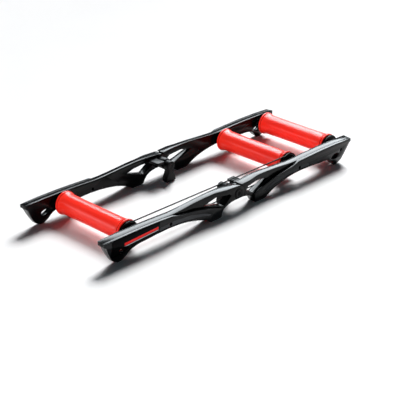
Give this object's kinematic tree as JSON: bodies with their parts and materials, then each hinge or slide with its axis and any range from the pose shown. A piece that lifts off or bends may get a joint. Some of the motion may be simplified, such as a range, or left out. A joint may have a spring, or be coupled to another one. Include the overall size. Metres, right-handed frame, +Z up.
{
  "type": "bicycle rollers",
  "caption": "Folding free-standing bicycle rollers: waisted red drums turn between two black side rails on feet, with a round drive belt along one side and a hinge at mid-length.",
  "frame": {"origin": "on the floor, under the middle of the whole object", "axes": "+X along the side rails towards the end with two drums, +Y along the drums away from the drive belt, +Z up"},
  "size_m": [1.4, 0.486, 0.1158],
  "materials": {
    "rail": "black satin moulded",
    "cover": "black satin moulded",
    "drum": "semi-gloss bright red",
    "drum_end": "black satin",
    "rubber": "matte black",
    "steel": "turned steel",
    "black_steel": "blackened steel",
    "belt": "matte black"
  },
  "bodies": {
    "rear_frame": {"rear_rail_near": "rail", "rear_rail_cover_near": "cover", "rear_foot_pad_near_middle": "rubber", "rear_foot_pad_near_end": "rubber", "rear_screw_near_inner": "black_steel", "rear_screw_near_outer": "black_steel", "hinge_arm_near": "rail", "rear_rail_far": "rail", "rear_rail_cover_far": "cover", "rear_foot_pad_far_middle": "rubber", "rear_foot_pad_far_end": "rubber", "rear_screw_far_inner": "black_steel", "rear_screw_far_outer": "black_steel", "hinge_foot_near": "rail", "hinge_pin_near": "black_steel", "hinge_foot_pad_near": "rubber", "hinge_foot_far": "rail", "hinge_pin_far": "black_steel", "hinge_foot_pad_far": "rubber", "middle_axle_bolt_near": "steel", "middle_axle_bolt_far": "steel", "middle_axle": "steel", "rear_axle_bolt_near": "steel", "rear_axle_bolt_far": "steel", "rear_axle": "steel", "drive_belt": "belt"},
    "front_frame": {"front_rail_near": "rail", "front_rail_cover_near": "cover", "front_foot_pad_near_middle": "rubber", "front_foot_pad_near_end": "rubber", "front_screw_near_inner": "black_steel", "front_screw_near_outer": "black_steel", "front_rail_far": "rail", "front_rail_cover_far": "cover", "front_foot_pad_far_middle": "rubber", "front_foot_pad_far_end": "rubber", "front_screw_far_inner": "black_steel", "front_screw_far_outer": "black_steel", "hinge_arm_far": "rail", "hinge_cap_near": "cover", "hinge_cap_far": "cover", "front_axle_bolt_near": "steel", "front_axle_bolt_far": "steel", "front_axle": "steel"},
    "front_drum_assembly": {"front_drum": "drum", "front_drum_pulley": "drum_end", "front_drum_end_cap": "drum_end", "front_bearing_near": "steel", "front_bearing_far": "steel"},
    "middle_drum_assembly": {"middle_drum": "drum", "middle_drum_pulley": "drum_end", "middle_drum_end_cap": "drum_end", "middle_bearing_near": "steel", "middle_bearing_far": "steel"},
    "rear_drum_assembly": {"rear_drum": "drum", "rear_drum_pulley": "drum_end", "rear_drum_end_cap": "drum_end", "rear_bearing_near": "steel", "rear_bearing_far": "steel"}
  },
  "joints": [
    {"name": "frame_fold", "type": "hinge", "parent": "rear_frame", "child": "front_frame", "pos_m": [0.004, 0, 0.071], "axis": [0, 1, 0], "range_deg": [0, 45], "deforming": ["drive_belt"]},
    {"name": "front_drum_spin", "type": "hinge", "parent": "front_frame", "child": "front_drum_assembly", "pos_m": [-0.52499, 0, 0.067], "axis": [0, 1, 0], "continuous": true},
    {"name": "middle_drum_spin", "type": "hinge", "parent": "rear_frame", "child": "middle_drum_assembly", "pos_m": [0.371, 0, 0.067], "axis": [0, 1, 0], "continuous": true},
    {"name": "rear_drum_spin", "type": "hinge", "parent": "rear_frame", "child": "rear_drum_assembly", "pos_m": [0.63701, 0, 0.067], "axis": [0, 1, 0], "continuous": true}
  ],
  "couplings": [
    {"joint": "front_drum_spin", "follows": "middle_drum_spin", "ratio": 1}
  ]
}
